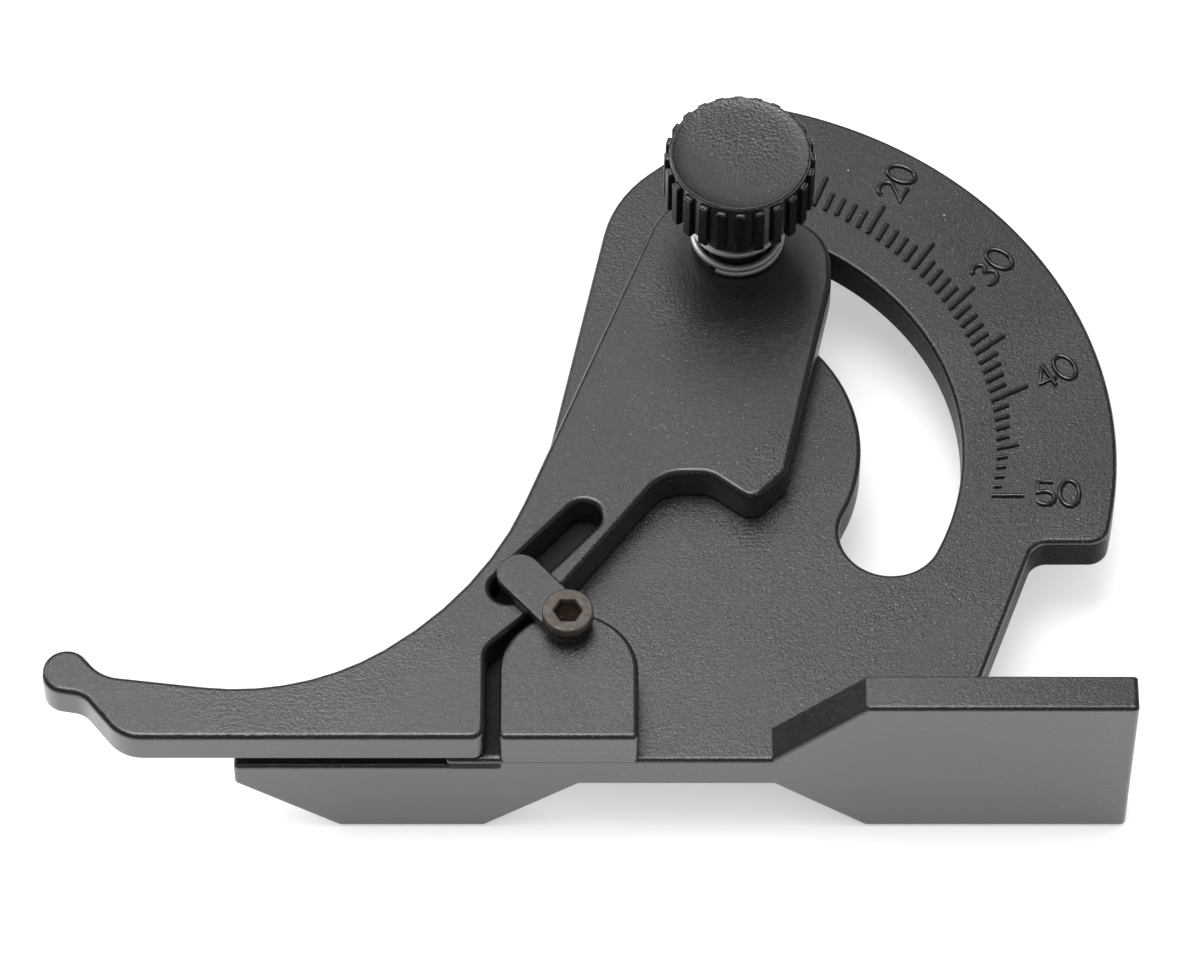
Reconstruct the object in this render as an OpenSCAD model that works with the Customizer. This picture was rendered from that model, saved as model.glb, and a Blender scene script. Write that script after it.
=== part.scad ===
// Ride height gauge for small model cars, lying on its back.
// X runs along the base bar, Y from the sole up to the rim, Z out of the scale.
// Millimetres.

/* [Scale plate] */
// Thickness of the scale plate
plate_t = 5.5; // [4.8:0.1:6.2]
// Radius of the outer rim about the dial centre
rim_r = 54.05; // [53:0.05:56]
// Height of the dial centre above the sole
centre_h = 45.6; // [44.5:0.05:46.5]
// Angle at which the rim ends at the top
rim_top_angle = 79.5; // [78:0.5:82]
// Angle at which the rim's lower corner starts
rim_low_angle = -13; // [-14:0.5:-12]
// Distance of the rim's lower step below the dial centre
step_drop = 14.2; // [13.8:0.1:15]

/* [Curved window] */
// Radius of the window's middle line about the dial centre
window_mid_r = 28.6; // [28:0.1:29.2]
// Width of the window
window_w = 12.54; // [11.5:0.01:13.2]
// Angle of the upper end's centre
window_top_angle = 86; // [86:0.1:88]
// Angle of the lower end's centre
window_low_angle = -26.2; // [-28:0.1:-26]

/* [Base bar] */
// Height of the bar above the sole
bar_h = 4.7; // [4.2:0.1:5.2]
// Reach of the bar to the left of the dial centre
bar_left = 54.06; // [52:0.01:56]
// Reach of the bar to the right of the dial centre
bar_right = 54.05; // [52:0.05:56]
// Rise of the bar's right end in front of the plate
bar_front = 11.75; // [10:0.05:13]
// Depth of the bar's feet behind the plate's front face
bar_back = 15.3; // [14.8:0.1:17]
// Step of the bar's left end behind the plate's front face
bar_step = 1.4; // [1:0.1:2]

/* [Scale marks] */
// Height that the marks stand proud
mark_rise = 0.35; // [0.2:0.05:0.45]
// Width of a mark
mark_w = 0.5; // [0.36:0.02:0.56]
// Radius about which the marks start
mark_r = 40.4; // [40:0.05:41]
// Height of a numeral
digit_h = 4.3; // [3.6:0.1:4.6]

/* [Lever arm] */
// Thickness of the arm
arm_t = 4.9; // [4.4:0.1:5.4]
// Reach of the nose to the left of the clamp knob
arm_reach = 84.31; // [83.5:0.01:85.2]
// Unit length of the nose's rounded end, on which its corners are drawn
nose_len = 8.43; // [8:0.01:8.9]
// Angle of the clamp knob about the dial centre
knob_angle = 75.3; // [74.8:0.1:75.9]
// Width of the pivot slot
slot_w = 4.3; // [4.1:0.05:4.4]
// Length of the pivot slot between its end centres
slot_len = 13.8; // [13.6:0.1:14.2]
// Direction of the pivot slot
slot_angle = 48.5; // [47.5:0.1:49.5]

/* [Pivot] */
// Diameter of the pivot pin
pin_d = 3; // [2.8:0.05:3.05]
// Width of the retaining tab
tab_w = 5.6; // [5.2:0.1:6]
// Thickness of the retaining tab
tab_t = 1.5; // [1.2:0.1:2]
// Length of the tab between its end centres
tab_len = 8.79; // [8.4:0.01:9.2]
// Radius of the boss under the tab
boss_r = 8.35; // [7.9:0.05:8.6]
// Diameter of the tab screw's head
tab_head_d = 6.2; // [5.6:0.1:6.6]
// Height of the tab screw's head
tab_head_h = 1.9; // [1.5:0.1:2.4]
// Width across corners of the tab screw's socket
tab_socket_d = 3.4; // [2.6:0.1:3.6]
// Diameter of the tab screw's shank
tab_shank_d = 3; // [2.5:0.1:3.4]

/* [Clamp knob] */
// Outer diameter of the knob over its ribs
knob_d = 18.7; // [17:0.1:20]
// Height of the ribbed head
knob_h = 8.2; // [7:0.1:9.5]
// Gap between the arm and the underside of the ribbed head
knob_gap = 10.35; // [9:0.05:12]
// Number of grooves around the knob
grooves = 24; // [18:1:30]
// Depth of a groove
groove_depth = 0.75; // [0.65:0.05:1]
// Radius of the knob's hub
hub_r = 4.3; // [4:0.05:4.6]

/* [Spring] */
// Outer diameter of the spring
spring_d = 11.85; // [11.4:0.05:12.6]
// Diameter of the spring's wire
wire_d = 0.88; // [0.7:0.02:1]
// Turns of the spring
spring_turns = 4.5; // [3.5:0.5:5]

/* [Clamp] */
// Diameter of the clamp screw's shaft
shaft_d = 4; // [3.6:0.1:4.2]
// Diameter of the clamp screw's head
head_d = 7; // [6.6:0.1:7.6]
// Height of the clamp screw's head
head_h = 4.2; // [3.8:0.1:4.6]
// Thickness of the rear washer
washer_t = 1; // [0.8:0.1:1.4]
// Diameter of the rear washer
washer_d = 10; // [9:0.1:11]
// Diameter of the shoe's spigot in the arm
spigot_d = 8; // [7.6:0.1:8.4]
// Half the angle that the shoe's block spans
shoe_half_angle = 7; // [6.4:0.1:7.6]
// Rim of the shoe's flange beyond the window's edge
shoe_lip = 2.4; // [2:0.1:3]

/* [Hidden] */
$fn = 96;

// Clearances and small sizes
overrun = 0.5;
slide_gap = 0.15;
run_gap = 0.05;
seat_gap = 0.02;
arc_step = 7;
block_step = 2;

// Small sizes of the knob
hub_gap = 1.2;
insert_wall = 1.1;
groove_share = 0.47;
top_step = 0.6;
top_inset = 0.6;
top_rim = 0.6;
dish = 0.35;

// Centre of the clamp knob
knob_x = window_mid_r * cos(knob_angle);
knob_y = window_mid_r * sin(knob_angle);

// Levels along Z
arm_back = slide_gap;
arm_front = arm_back + arm_t;
boss_front = arm_front + slide_gap;
tab_front = boss_front + tab_t;
knob_under = arm_front + knob_gap;
knob_top = knob_under + knob_h;
flange_front = -plate_t - slide_gap;
flange_t = bar_back - plate_t - slide_gap - washer_t - head_h;
washer_front = flange_front - flange_t;
head_front = washer_front - washer_t;

// The slot's upper end centre about the knob, x in shares of arm_reach, y in shares of arm_drop
foot_gap = 0.17;
arm_drop = knob_y + centre_h - foot_gap;
slot_share = [-0.2284, -0.5646];
slot_x = knob_x + slot_share.x * arm_reach;
slot_y = knob_y + slot_share.y * arm_drop;

// The arm's outline about the knob: corners as [x, y, corner radius]
// The nose, from its lower left corner, in shares of nose_len
nose_low_share = -0.905;
nose_shares = [
    [0, 0, 0.325],
    [0, 0.668, 0.335],
    [0.5, 0.668, 0.325],
    [0.85, 0.243, 0.59]
];
// The neck, from the slot's upper end, in shares of slot_len along the slot and of slot_w
// across it; its radii are shares of arm_reach
neck_left_shares = [[1.194, 0.447, 0.540]];
neck_right_shares = [[-0.811, -0.745, 0.060], [0.685, -1.143, 0.050]];
// The other corners, with x and radius in shares of arm_reach and y in shares of arm_drop
hollow_shares = [[-0.630, -0.918, 0.370]];
blade_shares = [
    [-0.107, 0.092, 0.095],
    [-0.004, 0.109, 0.070],
    [0.139, 0.014, 0.084],
    [0.139, -0.085, 0.150],
    [0.068, -0.474, 0.018],
    [0.018, -0.536, 0.024],
    [-0.046, -0.479, 0.036]
];
foot_shares = [
    [-0.367, -0.825, 0.036],
    [-0.367, -1, 0.020],
    [-0.884, -1, 0.0605],
    [-0.941, -0.917, 0.0355]
];

// The pivot pin's centre: where it stands along the slot and beside its middle line
pin_along = 12.53;
pin_aside = 0.51;
pin_x = slot_x - pin_along * cos(slot_angle) - pin_aside * sin(slot_angle);
pin_y = slot_y - pin_along * sin(slot_angle) + pin_aside * cos(slot_angle);

// The tab: its free end lies over the pin, its other end under the screw
tab_offset = 1;
tab_angle = -48.5;
tab_x = pin_x + tab_offset;
tab_y = pin_y - tab_offset / 3;
screw_x = tab_x + tab_len * cos(tab_angle);
screw_y = tab_y + tab_len * sin(tab_angle);

// The boss: an arch whose top holds the screw
boss_shift = 0.15;
boss_x = screw_x + boss_shift;
screw_below_arch = 6.35;
boss_y = screw_y - screw_below_arch;

// The plate's edges: left edge with a knee and a wider foot under the arm, corner, step and strut
left_lean_share = 0.205;
left_edge_x = -16.2;
knee_share = 0.158;
knee_r = 6;
hip_shares = [-0.487, -0.502];
hip_r = 8;
foot_left_share = -0.53;
left_corner_share = 0.711;
left_corner_r = 17;
step_corner_r = 2.6;
step_fillet_r = 2.5;
strut_top_share = 0.801;
strut_lean_share = 0.363;

// The bar's places along X, as shares of its left and right reach
ramp_front_shares = [0.198, 0.404];
ramp_back_shares = [0.202, 0.413];
foot_left_shares = [-0.228, -0.445, -0.773];
step_share = -0.4125;
bar_tip_share = 0.345;

// Extents that centre the whole part on its own frame
left_end = knob_x - arm_reach;
right_end = max(bar_right, rim_r);
top_end = rim_r * sin(rim_top_angle);

// Points of a polygon whose corners [x, y, radius] are rounded
function unit(v) = v / norm(v);
full_turn = 360;
function turn(a) = a > full_turn / 2 ? a - full_turn : a < -full_turn / 2 ? a + full_turn : a;
function corner_arc(p, before, after, r) =
    let (
        u = unit(before - p),
        w = unit(after - p),
        half = acos(u * w) / 2,
        mid = p + unit(u + w) * r / sin(half),
        start = p + u * r / tan(half) - mid,
        end = p + w * r / tan(half) - mid,
        a0 = atan2(start.y, start.x),
        da = turn(atan2(end.y, end.x) - a0),
        steps = max(2, ceil(abs(da) / arc_step))
    )
    [for (i = [0:steps]) mid + r * [cos(a0 + da * i / steps), sin(a0 + da * i / steps)]];
function flat(c) = [c[0], c[1]];
function rounded(corners) =
    let (n = len(corners))
    [for (i = [0:n - 1])
        let (c = corners[i])
        each (c[2] == 0
            ? [flat(c)]
            : corner_arc(flat(c), flat(corners[(i + n - 1) % n]), flat(corners[(i + 1) % n]), c[2]))];

// Points of an arc
function arc(centre, r, from, to, steps = 12) =
    [for (i = [0:steps]) let (a = from + (to - from) * i / steps) centre + r * [cos(a), sin(a)]];

// Moves the design from the dial centre to the middle of the floor under the part
module place() {
    translate([-(left_end + right_end) / 2, -(top_end - centre_h) / 2, bar_back])
        children();
}

module disc(r, low, high) {
    translate([0, 0, low])
        cylinder(r = r, h = high - low);
}

// Outline of a block bent about the dial centre, with round ends
function bent_outline(mid_r, half_w, from, to) =
    let (
        start = mid_r * [cos(from), sin(from)],
        end = mid_r * [cos(to), sin(to)],
        steps = ceil((to - from) / block_step)
    )
    concat(
        arc([0, 0], mid_r + half_w, from, to, steps),
        arc(end, half_w, to + block_step, to + 180 - block_step, 30),
        arc([0, 0], mid_r - half_w, to, from, steps),
        arc(start, half_w, from - 180 + block_step, from - block_step, 30));

module bent_block(mid_r, half_w, from, to, low, high) {
    translate([0, 0, low])
        linear_extrude(high - low)
            polygon(bent_outline(mid_r, half_w, from, to));
}

// A bar with round ends, from the origin along X
module stadium(length, r, low, high) {
    disc(r, low, high);
    translate([length, 0, 0])
        disc(r, low, high);
    translate([0, -r, low])
        cube([length, 2 * r, high - low]);
}

// Scale marks: the angle, radius, length and lean of the mark for a reading in millimetres
first_reading = 15;
last_reading = 50;
long_mark = 4.9;
short_mark = 3;
forty_share = 1.1;
forty_five_share = 0.63;
fifty_share = 0.86;
taper_from = 36;
taper_share = 0.045;
shortest_share = 0.36;
mark_shift_x = -1.4;
mark_shift_y = 0.8;
mark_angle_terms = [65, -11.52, 0.095];
mark_lean_terms = [0, 14.9, -0.73];
function fitted(terms, n) = terms[0] + terms[1] * n + terms[2] * n * n;
function mark_angle(reading) = fitted(mark_angle_terms, (reading - first_reading) / 5);
function mark_lean(reading) = fitted(mark_lean_terms, (last_reading - reading) / 5);
function mark_length(reading) =
    reading == 40 ? long_mark * forty_share
    : reading == 45 ? long_mark * forty_five_share
    : reading == 50 ? long_mark * fifty_share
    : reading % 5 == 0 ? long_mark
    : short_mark * max(shortest_share, 1 - taper_share * max(0, reading - taper_from));
function mark_start(reading) =
    let (way = [cos(mark_angle(reading)), sin(mark_angle(reading))])
    way * (mark_r + [mark_shift_x, mark_shift_y] * way);

module scale_mark(reading) {
    half = mark_w / 2;
    translate(mark_start(reading))
        rotate(mark_lean(reading))
            polygon(concat(
                arc([mark_length(reading) - half, 0], half, -90, 90, 6),
                arc([half, 0], half, 90, 270, 6)));
}

// A band of even width along a path
function path_side(path, w) =
    let (n = len(path))
    [for (i = [0:n - 1])
        let (
            d0 = unit(path[max(i, 1)] - path[max(i, 1) - 1]),
            d1 = unit(path[min(i + 1, n - 1)] - path[min(i + 1, n - 1) - 1]),
            m = unit(d0 + d1)
        )
        path[i] + w / 2 * [-m.y, m.x] / (m * d0)];
function reversed(list) = [for (i = [len(list) - 1:-1:0]) list[i]];

module band(path, w) {
    polygon(concat(path_side(path, w), reversed(path_side(path, -w))));
}

// Numerals in shares of their height
digit_w_share = 0.63;
digit_gap_share = 0.14;
five_shares = [concat([[0.54, 0.95], [0.12, 0.95], [0.08, 0.52]], arc([0.30, 0.32], 0.265, 120, -145))];
four_shares = [[[0.46, 0], [0.46, 0.93]], [[0.46, 0.93], [0.06, 0.30], [0.63, 0.30]]];
three_shares = [arc([0.30, 0.74], 0.21, 160, -80), arc([0.30, 0.29], 0.25, 80, -155)];
two_shares = [concat(arc([0.31, 0.70], 0.25, 165, -38), [[0.06, 0.05], [0.60, 0.05]])];
zero_r_share = 0.3;
numeral_shares = [five_shares, four_shares, three_shares, two_shares];

// Places of the numerals: angle about the dial centre, distance as a share of rim_r, turn
numeral_places = [[-8.7, 0.867, 0], [13.3, 0.887, 29], [34.6, 0.886, 51], [55.5, 0.905, 64]];

function sized(shares) = [for (s = shares) s * digit_h];

module zero() {
    r = zero_r_share * digit_h;
    inner = r - mark_w;
    middle = digit_w_share / 2 * digit_h;
    difference() {
        polygon(concat(
            arc([middle, digit_h - r], r, 0, 180, 14),
            arc([middle, r], r, 180, 360, 14)));
        polygon(concat(
            arc([middle, digit_h - r], inner, 0, 180, 14),
            arc([middle, r], inner, 180, 360, 14)));
    }
}

// A numeral centred on its place beside the marks and turned to face it
module numeral(shares, at) {
    pitch = (digit_w_share + digit_gap_share) * digit_h;
    translate(rim_r * at[1] * [cos(at[0]), sin(at[0])])
        rotate(at[2])
            translate([-(digit_w_share + digit_gap_share / 2) * digit_h, -digit_h / 2]) {
                for (stroke = shares)
                    band(sized(stroke), mark_w);
                translate([pitch, 0])
                    zero();
            }
}

module marks() {
    for (reading = [first_reading:last_reading])
        scale_mark(reading);
    for (i = [0:len(numeral_places) - 1])
        numeral(numeral_shares[i], numeral_places[i]);
}

// The plate seen from the front
module plate_outline() {
    top = rim_r * [cos(rim_top_angle), sin(rim_top_angle)];
    left_corner = [left_edge_x + left_lean_share * left_corner_share * rim_r, left_corner_share * rim_r];
    low_left = [foot_left_share * rim_r, -centre_h];
    hip = hip_shares * rim_r;
    knee = [left_edge_x - left_lean_share * knee_share * rim_r, -knee_share * rim_r];
    low_right = [rim_r * strut_top_share - strut_lean_share * (centre_h - step_drop), -centre_h];
    step = [rim_r * strut_top_share, -step_drop];
    tangent = [sin(rim_low_angle), -cos(rim_low_angle)];
    side = rim_r * [cos(rim_low_angle), sin(rim_low_angle)];
    tip = side + tangent * (step_drop + side.y) / -tangent.y;
    corners = rounded([
        concat(side, 0),
        concat(tip, step_corner_r),
        concat(step, step_fillet_r),
        concat(low_right, 0),
        concat(low_left, 0),
        concat(hip, hip_r),
        concat(knee, knee_r),
        concat(left_corner, left_corner_r),
        concat(top, 0)
    ]);
    rim_steps = ceil((rim_top_angle - rim_low_angle) / block_step);
    rim = arc([0, 0], rim_r, rim_top_angle, rim_low_angle, rim_steps);
    polygon(concat(corners, [for (i = [1:rim_steps - 1]) rim[i]]));
}

module base_bar() {
    points = [
        [-bar_left, -bar_step],
        [step_share * bar_left, -bar_step],
        [step_share * bar_left, 0],
        [ramp_front_shares[0] * bar_right, 0],
        [ramp_front_shares[1] * bar_right, bar_front],
        [bar_right, bar_front],
        [bar_right, -bar_back],
        [ramp_back_shares[1] * bar_right, -bar_back],
        [ramp_back_shares[0] * bar_right, -plate_t],
        [foot_left_shares[0] * bar_left, -plate_t],
        [foot_left_shares[1] * bar_left, -bar_back],
        [foot_left_shares[2] * bar_left, -bar_back],
        [-bar_left, -bar_tip_share * bar_back]
    ];
    translate([0, bar_h - centre_h, 0])
        rotate([90, 0, 0])
            linear_extrude(bar_h)
                polygon(points);
}

module boss() {
    translate([0, 0, -plate_t / 2])
        linear_extrude(plate_t / 2 + boss_front)
            polygon(concat(
                arc([boss_x, boss_y], boss_r, 0, 180, 30),
                [[boss_x - boss_r, -centre_h], [boss_x + boss_r, -centre_h]]));
}

module gauge_body() {
    color([0.13, 0.13, 0.14])
        place()
            difference() {
                union() {
                    translate([0, 0, -plate_t])
                        linear_extrude(plate_t)
                            plate_outline();
                    base_bar();
                    boss();
                    translate([0, 0, -plate_t / 2])
                        linear_extrude(plate_t / 2 + mark_rise)
                            marks();
                }
                bent_block(window_mid_r, window_w / 2, window_low_angle, window_top_angle,
                    -plate_t - overrun, overrun);
                translate([screw_x, screw_y, 0])
                    disc(tab_shank_d / 2 + seat_gap, -plate_t / 2, boss_front + overrun);
                translate([pin_x, pin_y, 0])
                    disc(pin_d / 2 + seat_gap, -plate_t / 2, overrun);
            }
}

function nose_corners() = [
    for (s = nose_shares)
        [s[0] * nose_len - arm_reach, nose_low_share * arm_drop + s[1] * nose_len, s[2] * nose_len]];

function neck_corners(shares) = [
    for (s = shares)
        let (along = s[0] * slot_len, aside = s[1] * slot_w)
        [
            slot_x - knob_x - along * cos(slot_angle) - aside * sin(slot_angle),
            slot_y - knob_y - along * sin(slot_angle) + aside * cos(slot_angle),
            s[2] * arm_reach
        ]];

function arm_corners(shares) = [
    for (s = shares) [s[0] * arm_reach, s[1] * arm_drop, s[2] * arm_reach]];

module lever_arm() {
    corners = concat(
        nose_corners(),
        arm_corners(hollow_shares),
        neck_corners(neck_left_shares),
        arm_corners(blade_shares),
        neck_corners(neck_right_shares),
        arm_corners(foot_shares));
    color([0.13, 0.13, 0.14])
        place()
            difference() {
                translate([knob_x, knob_y, arm_back])
                    linear_extrude(arm_t)
                        polygon(rounded(corners));
                translate([slot_x, slot_y, 0])
                    rotate([0, 0, slot_angle + 180])
                        stadium(slot_len, slot_w / 2, arm_back - overrun, arm_front + overrun);
                translate([knob_x, knob_y, 0])
                    disc(spigot_d / 2 + run_gap, arm_back - overrun, arm_front + overrun);
            }
}

module retainer_tab() {
    color([0.14, 0.14, 0.15])
        place()
            difference() {
                translate([tab_x, tab_y, 0])
                    rotate([0, 0, tab_angle])
                        stadium(tab_len, tab_w / 2, boss_front, tab_front);
                translate([screw_x, screw_y, 0])
                    disc(tab_shank_d / 2 + seat_gap, boss_front - overrun, tab_front + overrun);
                translate([pin_x, pin_y, 0])
                    disc(pin_d / 2 + seat_gap, boss_front - overrun, boss_front + tab_t / 2);
            }
}

module tab_screw() {
    socket_share = 0.6;
    socket_depth = tab_head_h * socket_share;
    color([0.32, 0.27, 0.24])
        place()
            translate([screw_x, screw_y, 0])
                difference() {
                    union() {
                        disc(tab_head_d / 2, tab_front, tab_front + tab_head_h);
                        disc(tab_shank_d / 2, -plate_t / 2 + seat_gap, tab_front);
                    }
                    translate([0, 0, tab_front + tab_head_h - socket_depth])
                        cylinder(d = tab_socket_d, h = socket_depth + overrun, $fn = 6);
                }
}

module pivot_pin() {
    color([0.66, 0.67, 0.69])
        place()
            translate([pin_x, pin_y, 0])
                disc(pin_d / 2, -plate_t / 2 + seat_gap, boss_front + tab_t / 2 - seat_gap);
}

// The insert sits in the hub, its mouth level with the hub's foot
hub_low = arm_front + hub_gap;
insert_r = shaft_d / 2 + insert_wall;
insert_top = knob_under + knob_h / 2;

// The knob's head: ribs between square grooves, under a smaller plain disc with a dished face
module ribbed_head() {
    groove_w = groove_share * PI * knob_d / grooves;
    difference() {
        disc(knob_d / 2, knob_under, knob_top - top_step);
        for (i = [0:grooves - 1])
            rotate([0, 0, full_turn * (i + 0.5) / grooves])
                translate([knob_d / 2 - groove_depth, -groove_w / 2, knob_under - overrun])
                    cube([groove_depth + overrun, groove_w, knob_h + overrun]);
    }
    disc(knob_d / 2 - top_inset, knob_top - top_step, knob_top);
}

module thumb_knob() {
    color([0.11, 0.11, 0.12])
        place()
            translate([knob_x, knob_y, 0])
                difference() {
                    union() {
                        ribbed_head();
                        disc(hub_r, hub_low, knob_under + overrun);
                    }
                    disc(knob_d / 2 - top_inset - top_rim, knob_top - dish, knob_top + overrun);
                    disc(insert_r + seat_gap, arm_front, insert_top + seat_gap);
                }
}

module knob_insert() {
    color([0.78, 0.62, 0.30])
        place()
            translate([knob_x, knob_y, 0])
                difference() {
                    disc(insert_r, hub_low, insert_top);
                    disc(shaft_d / 2 + run_gap, hub_low - overrun, insert_top + overrun);
                }
}

// The spring: one tube of six sides wound about the hub, its ends straight for one wire's width
spring_gap = 0.12;
spring_mid_r = (spring_d - wire_d) / 2;
spring_low = arm_front + slide_gap + wire_d / 2;
spring_high = knob_under - slide_gap - wire_d / 2;
rings_per_turn = 8;
ring_sides = 6;
spring_start = -119;
spring_rings = round(spring_turns * rings_per_turn);
closed_turns = 1.1;
closed_pitch = wire_d + spring_gap;
open_pitch = (spring_high - spring_low - 2 * closed_turns * closed_pitch) / (spring_turns - 2 * closed_turns);

// Height of the wire after a number of turns: closed turns at both ends, open ones between them
function coil_height(turns) =
    turns < closed_turns ? spring_low + closed_pitch * turns
    : turns > spring_turns - closed_turns ? spring_high - closed_pitch * (spring_turns - turns)
    : spring_low + closed_pitch * closed_turns + open_pitch * (turns - closed_turns);
function coil_point(i) =
    let (a = spring_start + full_turn * i / rings_per_turn)
    [spring_mid_r * cos(a), spring_mid_r * sin(a), coil_height(i / rings_per_turn)];
function coil_way(i) = let (a = spring_start + full_turn * i / rings_per_turn) [-sin(a), cos(a), 0];
function coil_ring(p, a) =
    [for (j = [0:ring_sides - 1])
        let (b = full_turn * j / ring_sides)
        p + wire_d / 2 * [cos(a) * cos(b), sin(a) * cos(b), sin(b)]];

coil_rings = concat(
    [coil_ring(coil_point(0) - wire_d * coil_way(0), spring_start)],
    [for (i = [0:spring_rings]) coil_ring(coil_point(i), spring_start + full_turn * i / rings_per_turn)],
    [coil_ring(coil_point(spring_rings) + wire_d * coil_way(spring_rings),
        spring_start + full_turn * spring_rings / rings_per_turn)]);

coil_self_gap = min([for (i = [0:spring_rings], j = [0:spring_rings])
    if (j - i >= rings_per_turn / 2) norm(coil_point(j) - coil_point(i)) - wire_d]);

module knob_spring() {
    last = len(coil_rings) - 1;
    sides = ring_sides;
    points = [for (ring = coil_rings) each ring];
    walls = [for (i = [0:last - 1], j = [0:sides - 1])
        let (a = i * sides + j, b = i * sides + (j + 1) % sides, c = a + sides, d = b + sides)
        each [[a, c, b], [b, c, d]]];
    caps = [for (j = [1:sides - 2]) each [[0, j, j + 1], [last * sides, last * sides + j + 1, last * sides + j]]];
    echo(coil_self_gap = coil_self_gap);
    color([0.80, 0.80, 0.80])
        place()
            translate([knob_x, knob_y, 0])
                polyhedron(points, concat(walls, caps));
}

module guide_shoe() {
    half_w = window_w / 2 - slide_gap;
    flange_half_angle = shoe_half_angle - asin(shoe_lip / window_mid_r);
    color([0.18, 0.18, 0.19])
        place()
            difference() {
                union() {
                    bent_block(window_mid_r, half_w, knob_angle - shoe_half_angle, knob_angle + shoe_half_angle,
                        flange_front - overrun, -slide_gap);
                    bent_block(window_mid_r, half_w + shoe_lip, knob_angle - flange_half_angle,
                        knob_angle + flange_half_angle, washer_front, flange_front);
                    translate([knob_x, knob_y, 0])
                        disc(spigot_d / 2, flange_front - overrun, arm_front - slide_gap);
                }
                translate([knob_x, knob_y, 0])
                    disc(shaft_d / 2 + seat_gap, washer_front - overrun, arm_front + overrun);
            }
}

module clamp_screw() {
    socket_share = 0.55;
    socket_depth = head_h * socket_share;
    color([0.55, 0.56, 0.58])
        place()
            translate([knob_x, knob_y, 0])
                difference() {
                    union() {
                        disc(head_d / 2, head_front - head_h, head_front);
                        disc(shaft_d / 2, head_front, insert_top);
                    }
                    translate([0, 0, head_front - head_h - overrun])
                        cylinder(d = head_d / 2, h = socket_depth + overrun, $fn = 6);
                }
}

module rear_washer() {
    color([0.62, 0.63, 0.65])
        place()
            translate([knob_x, knob_y, 0])
                difference() {
                    disc(washer_d / 2, head_front, washer_front);
                    disc(shaft_d / 2 + run_gap, head_front - overrun, washer_front + overrun);
                }
}

gauge_body();
lever_arm();
retainer_tab();
tab_screw();
pivot_pin();
thumb_knob();
knob_insert();
knob_spring();
guide_shoe();
clamp_screw();
rear_washer();
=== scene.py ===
import math

import bmesh
import bpy
from mathutils import Matrix, Vector


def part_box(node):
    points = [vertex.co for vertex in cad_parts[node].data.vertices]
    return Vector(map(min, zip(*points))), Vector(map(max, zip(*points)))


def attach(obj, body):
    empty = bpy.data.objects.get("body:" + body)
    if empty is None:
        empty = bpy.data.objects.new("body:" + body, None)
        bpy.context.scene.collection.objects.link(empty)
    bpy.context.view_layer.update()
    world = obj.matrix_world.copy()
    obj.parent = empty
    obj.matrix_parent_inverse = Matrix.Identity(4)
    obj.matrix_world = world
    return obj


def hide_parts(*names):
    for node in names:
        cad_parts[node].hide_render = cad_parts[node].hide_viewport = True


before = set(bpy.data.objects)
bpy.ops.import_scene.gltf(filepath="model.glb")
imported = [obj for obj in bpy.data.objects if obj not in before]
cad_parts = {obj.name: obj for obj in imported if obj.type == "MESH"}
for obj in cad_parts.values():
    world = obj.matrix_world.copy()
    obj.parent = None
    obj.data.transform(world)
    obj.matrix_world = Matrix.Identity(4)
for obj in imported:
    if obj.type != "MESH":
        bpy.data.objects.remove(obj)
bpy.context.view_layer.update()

# Sizes are in millimetres in the gauge's own plan: origin at the dial centre, X along the base bar,
# Y from the sole up to the rim, Z out of the scale with zero on the plate's front face.
MM = 0.001
RIM_R = 54.05
CENTRE_H = 45.6
BAR_H = 4.7
PLATE_T = 5.5
WINDOW_R = 28.6
WINDOW_W = 12.54
WINDOW_ENDS = (-26.2, 86)
KNOB_ANGLE = 75.3
BAR_BACK = 15.3
SOLE = -CENTRE_H + 0.03
SLIDE_GAP = 0.15
ARM_BACK = SLIDE_GAP
ARM_T = 4.9
BOSS_FRONT = 5.2
TAB_T = 1.5
TAB_SCREW_R = 1.5
CLAMP_SCREW_R = 2
CLAMP_HEAD_H = 4.2
WASHER_T = 1
KNOB_UNDER = 15.4
KNOB_TOP = 23.6


def middle(node):
    """Middle of a solid in the row frame, in metres."""
    low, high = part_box(node)
    return (low + high) / 2


def polar(radius, degrees):
    return Vector((radius * math.cos(math.radians(degrees)), radius * math.sin(math.radians(degrees))))


# The plan's origin in the row frame, from the washer that lies on the clamp knob's axis
KNOB = polar(WINDOW_R, KNOB_ANGLE)
washer_middle = middle("rear_washer")
ORIGIN = Vector((washer_middle.x / MM - KNOB.x, washer_middle.y / MM - KNOB.y, BAR_BACK))
SCREW = Vector(middle("tab_screw").xy) / MM - ORIGIN.xy
PIN = Vector(middle("pivot_pin").xy) / MM - ORIGIN.xy


def to_row(point):
    """A place in the plan, in millimetres, as one in the row frame, in metres."""
    return (Vector(point) + ORIGIN) * MM


# Camera: a long lens 802 mm from the plate, tilted 33.7 degrees off its normal
CAMERA_PLACE = (-9.988, -450.54, 667.46)
CAMERA_TILT = 33.72
CAMERA_LENS = 195
CAMERA_SENSOR = 36
camera = bpy.data.objects.new("camera", bpy.data.cameras.new("camera"))
bpy.context.scene.collection.objects.link(camera)
camera.location = to_row(CAMERA_PLACE)
camera.rotation_euler = (math.radians(CAMERA_TILT), 0, 0)
camera.data.lens = CAMERA_LENS
camera.data.sensor_width = CAMERA_SENSOR
camera.data.clip_start = 0.01
camera.data.clip_end = 20
bpy.context.scene.camera = camera
bpy.context.scene.view_settings.view_transform = "Standard"


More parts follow.
